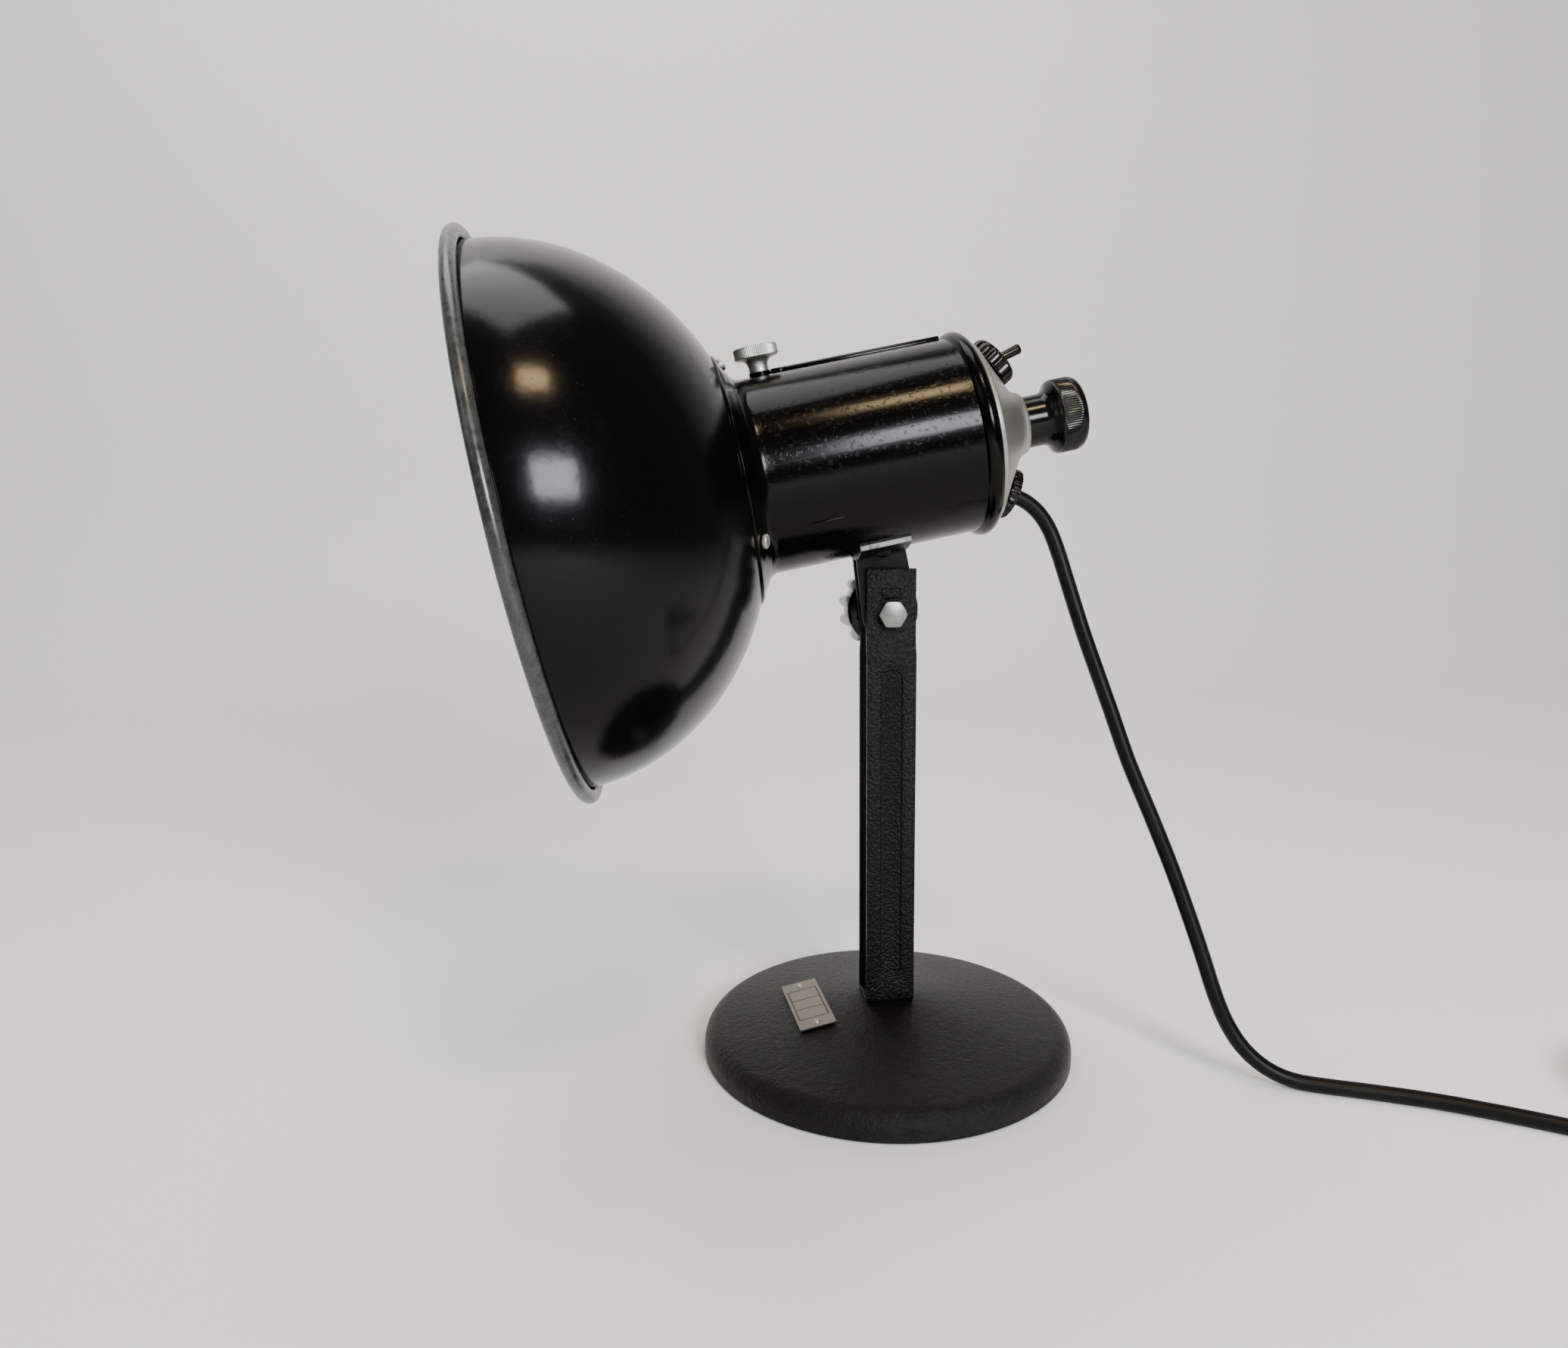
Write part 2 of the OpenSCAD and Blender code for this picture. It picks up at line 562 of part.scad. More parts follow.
// four turns, two beside each other and two on top
module cord_coil() {
    far = 2 * cord_d - cord_r;
    corners = [[cord_r, cord_r, 180], [far, cord_r, 270], [far, far, 0], [cord_r, far, 90]];
    color([0.05, 0.05, 0.05]) {
        translate([coil_c[0], coil_c[1], 0]) rotate_extrude() translate([coil_r - cord_d, 0])
            polygon([for (c = corners) each arc([c[0], c[1]], cord_r, c[2], c[2] + 90, 4)]);
        swept(tail_route, cord_r, 10);
    }
}
// strap that holds the turns together
module coil_tie() {
    color([0.1, 0.1, 0.1]) translate([coil_c[0] - coil_r, coil_c[1], 0]) rotate([90, 0, 0])
        translate([0, 0, -6]) linear_extrude(12) difference() {
            translate([-9.2, 0]) square([18.4, 17.4]);
            translate([-8, 0.6]) square([16, 15.6]);
        }
}
// flat two-pin plug lying beside the coil
plug_place = [444.5, -74, 7];
module plug_body() {
    color([0.05, 0.05, 0.05]) translate(plug_place) rotate([-90, 0, 0]) {
        cylinder(h = 16, r = 6);
        translate([0, 0, 15]) linear_extrude(7) polygon([[-9, -6.5], [9, -6.5], [9, 6.5], [-9, 6.5]]);
        translate([0, 0, 22]) linear_extrude(26) polygon([[-17.5, -3], [-13, -6.8], [13, -6.8],
            [17.5, -3], [17.5, 3], [13, 6.8], [-13, 6.8], [-17.5, 3]]);
    }
}
module plug_pins() {
    color([0.7, 0.68, 0.6]) translate(plug_place) rotate([-90, 0, 0]) for (x = [-9.3, 9.3])
        translate([x, 0, 48.02]) cylinder(h = 19, r = 2);
}

base();
base_pad();
post_strap();
post_bolt();
post_washer();
post_nut();
nameplate();
nameplate_pins();
hinge_bolt();
friction_washers();
hinge_spacer();
clamp_disc();
clamp_wheel();
clamp_bush();
tilt_bracket();
bracket_rivets();
housing_tube();
guide_channel();
screw_boss();
reflector();
reflector_screws();
reflector_nuts();
rear_cap();
switch_body();
switch_ring();
toggle_lever();
cord_gland();
gland_ring();
terminal_block();
terminal_screws();
internal_leads();
lock_screw();
focus_knob();
focus_rod();
knob_nut();
socket_carriage();
guide_key();
lampholder();
screw_shell();
centre_contact();
bulb_cap();
bulb_glass();
cord();
cord_coil();
coil_tie();
plug_body();
plug_pins();
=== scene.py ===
import json
from math import atan2, cos, pi, radians, sin, sqrt
import bpy
from mathutils import Matrix, Vector


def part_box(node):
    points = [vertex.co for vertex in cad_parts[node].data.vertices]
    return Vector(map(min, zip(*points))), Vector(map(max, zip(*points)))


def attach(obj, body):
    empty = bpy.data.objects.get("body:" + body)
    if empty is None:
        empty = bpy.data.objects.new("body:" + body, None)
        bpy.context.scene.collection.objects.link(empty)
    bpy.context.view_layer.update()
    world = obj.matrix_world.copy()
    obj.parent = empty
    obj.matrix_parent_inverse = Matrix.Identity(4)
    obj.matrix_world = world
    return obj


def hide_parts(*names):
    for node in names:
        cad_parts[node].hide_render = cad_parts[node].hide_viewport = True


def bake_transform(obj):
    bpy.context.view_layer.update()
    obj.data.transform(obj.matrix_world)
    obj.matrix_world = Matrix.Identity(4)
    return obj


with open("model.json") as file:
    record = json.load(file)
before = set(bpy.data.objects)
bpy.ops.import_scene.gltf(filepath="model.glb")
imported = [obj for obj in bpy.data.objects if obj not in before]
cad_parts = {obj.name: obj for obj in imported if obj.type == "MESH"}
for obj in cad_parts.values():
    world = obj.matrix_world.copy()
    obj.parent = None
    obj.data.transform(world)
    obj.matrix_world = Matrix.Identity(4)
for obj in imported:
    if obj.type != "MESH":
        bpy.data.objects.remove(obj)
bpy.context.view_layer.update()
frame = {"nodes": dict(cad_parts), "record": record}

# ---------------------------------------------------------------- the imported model
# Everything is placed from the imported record: the hinge bolt, the slanting line of
# the lamp's axis through the focusing rod, and the boxes of single pieces.
mm = 0.001
joints = {joint["name"]: joint for joint in frame["record"]["behaviour"]["joints"]}
hinge = Vector(joints["head_tilt"]["pos_m"])
lamp_axis = Vector(joints["focus_slide"]["axis"]).normalized()
rod_low, rod_high = (Vector(corner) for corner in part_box("focus_rod"))
rod_middle = (rod_low + rod_high) / 2
lamp_origin = rod_middle - lamp_axis * (rod_middle - hinge).dot(lamp_axis)
lamp_up = (lamp_origin - hinge).normalized()
in_head = Matrix((lamp_axis, (0, 1, 0), lamp_up)).transposed().to_4x4()
in_head.translation = lamp_origin
along_lamp = in_head @ Matrix.Rotation(pi / 2, 4, "Y")


# ---------------------------------------------------------------- camera, floor and light
# The lamp stands on a plain pale floor that runs up behind it, in soft studio light.
# The camera looks at its side from a little above the height of the table.
camera = bpy.data.objects.new("camera", bpy.data.cameras.new("camera"))
bpy.context.scene.collection.objects.link(camera)
camera.data.lens = 25.77
camera.data.sensor_width = 36
camera.data.clip_start = 0.01
camera_turn, camera_drop, camera_roll = -0.1168, 0.1588, -0.0096
look = Vector((-sin(camera_turn) * cos(camera_drop), cos(camera_turn) * cos(camera_drop),
               -sin(camera_drop)))
level = Vector((cos(camera_turn), sin(camera_turn), 0))
upright = level.cross(look)
right = cos(camera_roll) * level + sin(camera_roll) * upright
camera.matrix_world = Matrix((right, right.cross(look), -look)).transposed().to_4x4()
camera.location = (-0.1223, -0.5742, 0.3022)
bpy.context.scene.camera = camera


def clear():
    """Nothing stays selected."""
    if bpy.context.object and bpy.context.object.mode != "OBJECT":
        bpy.ops.object.mode_set(mode="OBJECT")
    bpy.ops.object.select_all(action="DESELECT")


def only(piece):
    """One piece is selected and active."""
    clear()
    piece.select_set(True)
    bpy.context.view_layer.objects.active = piece


clear()
bpy.ops.mesh.primitive_plane_add(size=1)
floor = bpy.context.object
floor.name = "floor"
bpy.ops.object.mode_set(mode="EDIT")
floor_width, floor_length, floor_back = 8, 4.2, 1
bpy.ops.transform.resize(value=(floor_width, floor_length, 1))
bpy.ops.transform.translate(value=(0, floor_back - floor_length / 2, 0))
bpy.ops.object.mode_set(mode="OBJECT")
for vertex in floor.data.vertices:
    vertex.select = vertex.co.y > floor_back / 2
for edge in floor.data.edges:
    edge.select = all(floor.data.vertices[end].select for end in edge.vertices)
for face in floor.data.polygons:
    face.select = False
bpy.ops.object.mode_set(mode="EDIT")
bpy.ops.mesh.select_mode(type="EDGE")
sweep_radius, sweep_steps, wall_height = 0.35, 8, 3
for k in range(sweep_steps):
    a, b = pi / 2 * k / sweep_steps, pi / 2 * (k + 1) / sweep_steps
    step = (0, sweep_radius * (sin(b) - sin(a)), sweep_radius * (cos(a) - cos(b)))
    bpy.ops.mesh.extrude_region_move(TRANSFORM_OT_translate={"value": step})
bpy.ops.mesh.extrude_region_move(TRANSFORM_OT_translate={"value": (0, 0, wall_height)})
bpy.ops.object.mode_set(mode="OBJECT")
bpy.ops.object.shade_smooth()

for name, place, aim, size, power, tint in [
    ("window_light", (0.60, -1.95, 1.02), (-0.1, 0, 0.28), 0.78, 58, (0.90, 0.96, 1.0)),
    ("ceiling_light", (0.25, -1.15, 2.15), (0, 0, 0.2), 0.46, 20, (1.0, 0.72, 0.42)),
    ("wall_wash", (-0.4, 0.45, 2.4), (0, 0.9, 0.3), 1.6, 30, (1.0, 1.0, 1.0)),
    ("side_fill", (-1.8, -0.9, 1.3), (0, 0, 0.2), 1.2, 4, (1.0, 0.98, 0.95)),
]:
    light = bpy.data.objects.new(name, bpy.data.lights.new(name, "AREA"))
    bpy.context.scene.collection.objects.link(light)
    light.data.shape = "RECTANGLE"
    light.data.size = size
    light.data.size_y = size * 0.7
    light.data.energy = power
    light.data.color = tint
    light.location = place
    light.rotation_euler = (Vector(aim) - Vector(place)).to_track_quat("-Z", "Y").to_euler()
world = bpy.data.worlds.new("studio")
bpy.context.scene.world = world
world.use_nodes = True
world.node_tree.nodes["Background"].inputs["Color"].default_value = (0.92, 0.93, 0.95, 1)
world.node_tree.nodes["Background"].inputs["Strength"].default_value = 0.14


class Value:
    """A shader socket that can be used in ordinary sums."""

    def __init__(self, finish, socket):
        self.finish = finish
        self.socket = socket

    def _sum(self, operation, *terms, clamp=False):
        node = self.finish.tree.nodes.new("ShaderNodeMath")
        node.operation = operation
        node.use_clamp = clamp
        for slot, term in zip(node.inputs, terms):
            self.finish.feed(slot, term)
        return Value(self.finish, node.outputs[0])

    def __add__(self, other):
        return self._sum("ADD", self, other)

    def __radd__(self, other):
        return self._sum("ADD", other, self)

    def __sub__(self, other):
        return self._sum("SUBTRACT", self, other)

    def __rsub__(self, other):
        return self._sum("SUBTRACT", other, self)

    def __mul__(self, other):
        return self._sum("MULTIPLY", self, other)

    def __rmul__(self, other):
        return self._sum("MULTIPLY", other, self)

    def __truediv__(self, other):
        return self._sum("DIVIDE", self, other)

    def __pow__(self, other):
        return self._sum("POWER", self, other)

    def above(self, low, high):
        """0 below low, 1 above high, and a straight ramp between."""
        return self._sum("MULTIPLY", self - low, 1 / (high - low), clamp=True)


class Finish:
    """One material, with short ways to add nodes to it."""

    def __init__(self, name, colour, roughness, metallic=0.0, coat=0.0, shine=0.5):
        self.material = bpy.data.materials.new(name)
        self.material.use_nodes = True
        self.tree = self.material.node_tree
        self.shader = self.tree.nodes["Principled BSDF"]
        self.shader.inputs["Base Color"].default_value = (*colour, 1)
        self.shader.inputs["Roughness"].default_value = roughness
        self.shader.inputs["Metallic"].default_value = metallic
        self.shader.inputs["Coat Weight"].default_value = coat
        self.shader.inputs["Specular IOR Level"].default_value = shine
        self.where = self.add("ShaderNodeTexCoord", out="Object")

    def feed(self, slot, term):
        """Sets a socket to a number or colour, or links it to a value."""
        if isinstance(term, Value):
            self.tree.links.new(term.socket, slot)
        else:
            slot.default_value = term

    def add(self, kind, settings=None, out=0, **sockets):
        """Adds a node: its settings first, then its sockets by name, with _ for a space."""
        node = self.tree.nodes.new(kind)
        for key, setting in (settings or {}).items():
            setattr(node, key, setting)
        for key, term in sockets.items():
            self.feed(node.inputs[key.replace("_", " ")], term)
        return Value(self, node.outputs[out])

    def turned(self, matrix, stretch=(1, 1, 1)):
        """Object coordinates seen from a turned and moved place, and stretched."""
        back = matrix.inverted()
        moved = self.add("ShaderNodeMapping", {"vector_type": "POINT"}, Vector=self.where,
                         Location=back.translation, Rotation=back.to_euler())
        return self.add("ShaderNodeMapping", {"vector_type": "POINT"}, Vector=moved, Scale=stretch)

    def noise(self, scale, detail=3.0, rough=0.5, at=None):
        """A cloudy value from 0 to 1, in object coordinates or in turned ones."""
        return self.add("ShaderNodeTexNoise", Vector=at or self.where, Scale=scale, Detail=detail,
                        Roughness=rough)

    def part(self, vector, axis):
        """One coordinate of a place: 0 is X, 1 is Y and 2 is Z."""
        return self.add("ShaderNodeSeparateXYZ", Vector=vector, out=axis)

    def mix(self, factor, first, second):
        """A colour that goes from the first to the second with the factor."""
        node = self.tree.nodes.new("ShaderNodeMix")
        node.data_type = "RGBA"
        for index, term in ((0, factor), (6, first), (7, second)):
            if isinstance(term, tuple):
                term = (*term, 1)
            self.feed(node.inputs[index], term)
        return Value(self, node.outputs[2])

    def colour(self, value):
        self.feed(self.shader.inputs["Base Color"], value)

    def rough(self, value):
        self.feed(self.shader.inputs["Roughness"], value)

    def bump(self, height, distance, strength=1.0):
        normal = self.add("ShaderNodeBump", Height=height, Distance=distance, Strength=strength)
        self.feed(self.shader.inputs["Normal"], normal)


def coat(piece, *finishes):
    """Gives a piece its finishes, in the order of its material slots."""
    piece.data.materials.clear()
    for finish in finishes:
        piece.data.materials.append(finish.material)


backdrop = Finish("pale_backdrop", (0.88, 0.88, 0.875), 0.8)
coat(floor, backdrop)


# ---------------------------------------------------------------- mains cord
# A black round two-core cord leaves the gland at the back of the head, hangs down to
# the table and runs to a neat coil of a little over four turns, held by a strap.
cord_radius = 4 * mm
cap_slant = radians(32.1)
gland_out = Vector((cos(cap_slant), 0, -sin(cap_slant)))
cone_foot, cone_foot_radius, cone_run, cone_fall = 63, 46.5, 17, 27.1
port_along = {"switch": 72.8, "gland": 71.8}
port_radius = {}
for port, along in port_along.items():
    port_radius[port] = cone_foot_radius - (along - cone_foot) * cone_fall / cone_run
gland_height = 5
gland_foot = Vector((port_along["gland"], 0, -port_radius["gland"])) * mm
gland_face = in_head @ (gland_foot + gland_out * gland_height * mm)
straight_out = in_head.to_3x3() @ gland_out
hanging = [(72.1, 0, 297.7), (76, 0, 295.1), (79.5, -0.2, 291.9), (82.5, -0.5, 288.2), (85, -0.9, 284.2),
           (87.1, -1.4, 279.9), (90.3, -2.7, 271), (94.2, -4.7, 258), (98.3, -7, 244), (103, -10, 228),
           (109, -13, 210), (116, -18, 188), (124, -24, 162), (134, -31, 135), (144, -38, 107),
           (152, -46, 80), (157, -52, 61), (161, -57, 45), (166, -61, 31), (173, -66, 19), (183, -71, 10),
           (195, -76, 5), (209, -82, 4), (230, -91, 4), (255, -103, 4), (280, -118, 4), (305, -135, 4),
           (330, -153, 4), (355, -168, 4), (374, -177, 4)]
coil_centre = Vector((0.390, -0.130, 0))
turns, per_turn, swing_share = 4.25, 36, 0.6
turn_spread, turn_height = [50, 42, 42, 50], [4, 4, 12, 12]
wound = []
for k in range(int(turns * per_turn) + 1):
    turn = k / per_turn
    now = min(int(turn), len(turn_spread) - 1)
    before = max(now - 1, 0)
    swing = min((turn - now) / swing_share, 1)
    ease = swing * swing * (3 - 2 * swing)
    radius = turn_spread[before] + (turn_spread[now] - turn_spread[before]) * ease
    up = turn_height[before] + (turn_height[now] - turn_height[before]) * ease
    angle = 2 * pi * turn - pi / 2
    wound.append(coil_centre + Vector((radius * cos(angle), radius * sin(angle), up)) * mm)
tail = [(440, -122, 11.6), (440.5, -112, 10.6), (441.5, -102, 9), (443, -92, 7.4), (444, -82, 7),
        (444.5, -74, 7)]
route = [gland_face, gland_face + straight_out * 1.5 * mm]
route += [Vector(point) * mm for point in hanging] + wound + [Vector(point) * mm for point in tail]


def smooth_route(points, pieces=3):
    """Points on one smooth curve through the given ones."""
    ends = [2 * points[0] - points[1], *points, 2 * points[-1] - points[-2]]
    line = []
    for before, first, last, after in zip(ends, ends[1:], ends[2:], ends[3:]):
        bend = 2 * before - 5 * first + 4 * last - after
        twist = 3 * first - before - 3 * last + after
        for k in range(pieces):
            t = k / pieces
            line.append(0.5 * (2 * first + (last - before) * t + bend * t ** 2 + twist * t ** 3))
    return line + [points[-1]]


def tube(name, line, radius, sides=16):
    """A round tube along a line of points, closed at both ends."""
    curve = bpy.data.curves.new(name, "CURVE")
    curve.dimensions = "3D"
    curve.bevel_depth = radius
    curve.bevel_resolution = sides // 4 - 1
    curve.use_fill_caps = True
    spline = curve.splines.new("POLY")
    spline.points.add(len(line) - 1)
    for point, place in zip(spline.points, line):
        point.co = (*place, 1)
    holder = bpy.data.objects.new(name, curve)
    bpy.context.scene.collection.objects.link(holder)
    only(holder)
    bpy.ops.object.convert(target="MESH")
    piece = bpy.context.object
    piece.name = piece.data.name = name
    bpy.ops.object.shade_smooth_by_angle(angle=radians(50))
    return piece


jacket = Finish("cord_jacket", (0.002, 0.002, 0.002), 0.42, shine=0.15)
jacket.rough(jacket.noise(60, 4) * 0.12 + 0.36)
faded = jacket.noise(25, 3).above(0.45, 0.7)
jacket.colour(jacket.mix(faded, (0.0015, 0.0015, 0.0015), (0.004, 0.004, 0.004)))
jacket.bump(jacket.noise(400, 2), 0.0001, 0.25)

cord_line = smooth_route(route)
cord_piece = tube("mains_cord", cord_line, cord_radius)
coat(cord_piece, jacket)
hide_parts("cord", "cord_coil")
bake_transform(cord_piece)


# ---------------------------------------------------------------- plug and coil strap
# The cord ends in a flat two-pin plug moulded in black rubber, and a rubber strap holds
# the coil together.
bodies = frame["record"]["behaviour"]["bodies"]
body_of = {node: body for body, members in bodies.items() for node in members}


def softened(node, name, width=0.35, angle=30):
    """A copy of a CAD node with its sharp edges broken by a small bevel."""
    clear()
    piece = bpy.data.objects.new(name, frame["nodes"][node].data.copy())
    piece.data.name = name
    bpy.context.scene.collection.objects.link(piece)
    only(piece)
    bpy.ops.object.mode_set(mode="EDIT")
    bpy.ops.mesh.select_all(action="SELECT")
    bpy.ops.mesh.remove_doubles(threshold=2e-6)
    bpy.ops.mesh.dissolve_limited(angle_limit=radians(1))
    bpy.ops.object.mode_set(mode="OBJECT")
    if width:
        bevel = piece.modifiers.new("edges", "BEVEL")
        bevel.width = width * mm
        bevel.segments = 2
        bevel.limit_method = "ANGLE"
        bevel.angle_limit = radians(angle)
        bpy.ops.object.modifier_apply(modifier=bevel.name)
    bpy.ops.object.shade_smooth_by_angle(angle=radians(38))
    return piece


def fit_on(piece, finish, *nodes):
    """The piece stands for these nodes and rides on their body."""
    if finish:
        coat(piece, finish)
    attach(piece, body_of[nodes[0]])
    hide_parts(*nodes)
    return piece


def dress(finish, *nodes):
    """CAD nodes that stay as they are get their finish."""
    for node in nodes:
        coat(frame["nodes"][node], finish)


plug = fit_on(softened("plug_body", "moulded_plug", 0.8, 20), jacket, "plug_body")
strap = fit_on(softened("coil_tie", "coil_strap", 0.25), jacket, "coil_tie")
nickel = Finish("dull_nickel", (0.55, 0.54, 0.49), 0.38, metallic=1.0)
spots = nickel.noise(520, 5, 0.7)
nickel.colour(nickel.mix(spots, (0.36, 0.355, 0.31), (0.62, 0.61, 0.56)))
nickel.rough(0.28 + 0.34 * spots)
nickel.bump(spots, 0.00012, 0.6)
dress(nickel, "plug_pins")


# ---------------------------------------------------------------- base and felt
# The base is an iron casting with a shallow cone on top and a hollow underneath, painted
# with black hammered enamel. A disc of felt glued below saves the table.
def spun(name, outline, place=None, steps=128):
    """A closed outline of (radius, height) in millimetres, spun round Z and put in its place."""
    clear()
    bpy.ops.mesh.primitive_plane_add(size=mm)
    piece = bpy.context.object
    piece.name = piece.data.name = name
    bpy.ops.object.mode_set(mode="EDIT")
    bpy.ops.mesh.select_mode(type="VERT")
    bpy.ops.mesh.merge(type="CENTER")
    bpy.ops.transform.translate(value=(outline[0][0] * mm, 0, outline[0][1] * mm))
    ring = outline if outline[0][0] == 0 and outline[-1][0] == 0 else [*outline, outline[0]]
    for before, after in zip(ring, ring[1:]):
        step = ((after[0] - before[0]) * mm, 0, (after[1] - before[1]) * mm)
        bpy.ops.mesh.extrude_region_move(TRANSFORM_OT_translate={"value": step})
    bpy.ops.mesh.select_all(action="SELECT")
    bpy.ops.mesh.spin(steps=steps, angle=2 * pi, center=(0, 0, 0), axis=(0, 0, 1))
    bpy.ops.mesh.select_all(action="SELECT")
    bpy.ops.mesh.remove_doubles(threshold=1e-6)
    bpy.ops.mesh.normals_make_consistent(inside=False)
    bpy.ops.object.mode_set(mode="OBJECT")
    if place:
        piece.data.transform(place)
    bpy.ops.object.shade_smooth_by_angle(angle=radians(32))
    return piece


def rounded(centre, radius, start, end, steps):
    """Points of an arc in an outline, with its angles in degrees."""
    angles = [radians(start + (end - start) * k / steps) for k in range(steps + 1)]
    return [(centre[0] + radius * cos(a), centre[1] + radius * sin(a)) for a in angles]


base_enamel = Finish("base_enamel", (0.003, 0.003, 0.003), 0.42, shine=0.17)
wrinkle = base_enamel.noise(620, 4, 0.65)
swell = base_enamel.noise(240, 2)
base_enamel.bump(wrinkle * 0.9 + swell * 0.6, 0.0011, 0.9)
base_enamel.rough(0.26 + 0.30 * wrinkle)
base_enamel.colour(base_enamel.mix(swell.above(0.35, 0.7), (0.002, 0.002, 0.002), (0.005, 0.0048, 0.0045)))

base_outline = [(4.1, 8), (20, 17), (84, 8), (88, 2.2), (94, 2.2), (94, 0.4), (99.2, 0.4), (100, 1.2)]
base_outline += rounded((90, 6), 10, 0, 76, 12)
base_outline += [(78, 18.15), (64, 20.5), (50, 22.8), (37, 25.2), (24, 27.6)]
base_outline += [(18.5, 28.6), (16.5, 29), (10, 29), (4.1, 29)]
fit_on(spun("cast_base", base_outline), base_enamel, "base")

felt = Finish("felt", (0.10, 0.12, 0.10), 0.95)
felt.colour(felt.mix(felt.noise(1500, 4, 0.7), (0.05, 0.065, 0.05), (0.17, 0.19, 0.16)))
felt.bump(felt.noise(2600, 3), 0.0004, 0.9)
dress(felt, "base_pad")


# ---------------------------------------------------------------- post and its bolt
# The post is one steel strap folded into a U, pressed with a stiffening groove on each
# leg and painted black. One bolt through the base holds it down.
strap_enamel = Finish("strap_enamel", (0.002, 0.002, 0.002), 0.38, shine=0.15)
crackle = strap_enamel.add("ShaderNodeTexVoronoi", {"feature": "F1"}, Vector=strap_enamel.where, Scale=620.0)
grit = strap_enamel.noise(1100, 3, 0.6)
chips = strap_enamel.noise(520, 4, 0.75).above(0.63, 0.68)
strap_enamel.bump(crackle * 0.8 + grit * 0.8 - chips * 0.4, 0.0006, 0.95)
strap_enamel.rough(0.18 + 0.26 * grit + 0.2 * chips)
strap_enamel.colour(strap_enamel.mix(chips, (0.002, 0.002, 0.002), (0.022, 0.021, 0.019)))
fit_on(softened("post_strap", "folded_strap", 0.4), strap_enamel, "post_strap")

zinc = Finish("zinc_plate", (0.60, 0.60, 0.58), 0.34, metallic=1.0)
bloom = zinc.noise(240, 4, 0.6)
zinc.colour(zinc.mix(bloom, (0.16, 0.165, 0.15), (0.30, 0.30, 0.28)))
zinc.rough(0.32 + 0.2 * bloom)
zinc.bump(zinc.noise(1500, 2), 0.00008, 0.5)
dress(zinc, "post_bolt", "post_washer", "post_nut")


# ---------------------------------------------------------------- rating plate
# A thin plate of aged nickel silver, held by two drive pins. A fine line is sunk round its
# edge and darkened, with two lines across it, and its fields are left blank.
plate_spot = Vector((-0.043, 0.003, 0.02422))
plate_turn = Matrix.Rotation(radians(4), 4, "Z") @ Matrix.Rotation(radians(-10.4), 4, "Y")
plate_turn.translation = plate_spot
plate_finish = Finish("aged_nickel", (0.42, 0.38, 0.32), 0.45, metallic=0.85)
plate_height = plate_finish.part(plate_finish.turned(plate_turn), 2)
sunk = 1 - plate_height.above(0.00072, 0.00084)
tarnish = plate_finish.noise(420, 4, 0.65)
plate_face = plate_finish.mix(tarnish, (0.13, 0.115, 0.095), (0.29, 0.265, 0.23))
plate_finish.colour(plate_finish.mix(sunk * 0.7, plate_face, (0.045, 0.040, 0.032)))
plate_finish.rough(0.36 + 0.3 * tarnish + 0.2 * sunk)
plate_finish.bump(plate_finish.noise(900, 3), 0.0001, 0.5)


def block(size, centre, place):
    """A box of that size about that centre, both in millimetres, put in its place."""
    clear()
    bpy.ops.mesh.primitive_cube_add(size=mm)
    piece = bpy.context.object
    piece.data.transform(place @ Matrix.Translation(Vector(centre) * mm) @ Matrix.Diagonal((*size, 1)))
    return piece


def cut_out(piece, cutter):
    """The cutter's shape is taken out of the piece."""
    only(piece)
    hole = piece.modifiers.new("hole", "BOOLEAN")
    hole.operation = "DIFFERENCE"
    hole.solver = "EXACT"
    hole.object = cutter
    bpy.ops.object.modifier_apply(modifier=hole.name)
    bpy.data.objects.remove(cutter)


plate_width, plate_length, plate_thick, line_width = 20, 54, 0.9, 0.7
plate = block((plate_width, plate_length, plate_thick), (0, 0, plate_thick / 2), plate_turn)
plate.name = plate.data.name = "rating_plate"
plate_edges = plate.modifiers.new("edges", "BEVEL")
plate_edges.width = 0.12 * mm
plate_edges.segments = 2
only(plate)
bpy.ops.object.modifier_apply(modifier=plate_edges.name)
field_width, field_length, cross_line = 16, 34, 5.5
for x in (-field_width / 2, field_width / 2):
    cut_out(plate, block((line_width, field_length + line_width, 0.4), (x, 0, plate_thick), plate_turn))
for y in (-field_length / 2, -cross_line, cross_line, field_length / 2):
    cut_out(plate, block((field_width, line_width, 0.39), (0, y, plate_thick), plate_turn))
only(plate)
bpy.ops.object.shade_smooth_by_angle(angle=radians(20))
fit_on(plate, plate_finish, "nameplate")
dress(nickel, "nameplate_pins")


# ---------------------------------------------------------------- hinge and clamp wheel
# One M8 bolt passes through both legs and the bracket's lugs, with fibre washers between
# them. On the far side a lobed wheel of cast aluminium with a black disc clamps the hinge.
fit_on(softened("hinge_bolt", "hexagon_bolt", 0.25), zinc, "hinge_bolt")

fibre = Finish("red_fibre", (0.20, 0.07, 0.035), 0.7)
fibre.colour(fibre.mix(fibre.noise(800, 4), (0.13, 0.045, 0.025), (0.27, 0.10, 0.055)))
fibre.bump(fibre.noise(1800, 2), 0.0001, 0.5)
dress(fibre, "friction_washers")

plain_steel = Finish("plain_steel", (0.42, 0.42, 0.42), 0.38, metallic=1.0)
mill = plain_steel.noise(500, 4, 0.6)
plain_steel.colour(plain_steel.mix(mill, (0.30, 0.30, 0.30), (0.50, 0.50, 0.49)))
plain_steel.rough(0.28 + 0.25 * mill)
dress(plain_steel, "hinge_spacer")

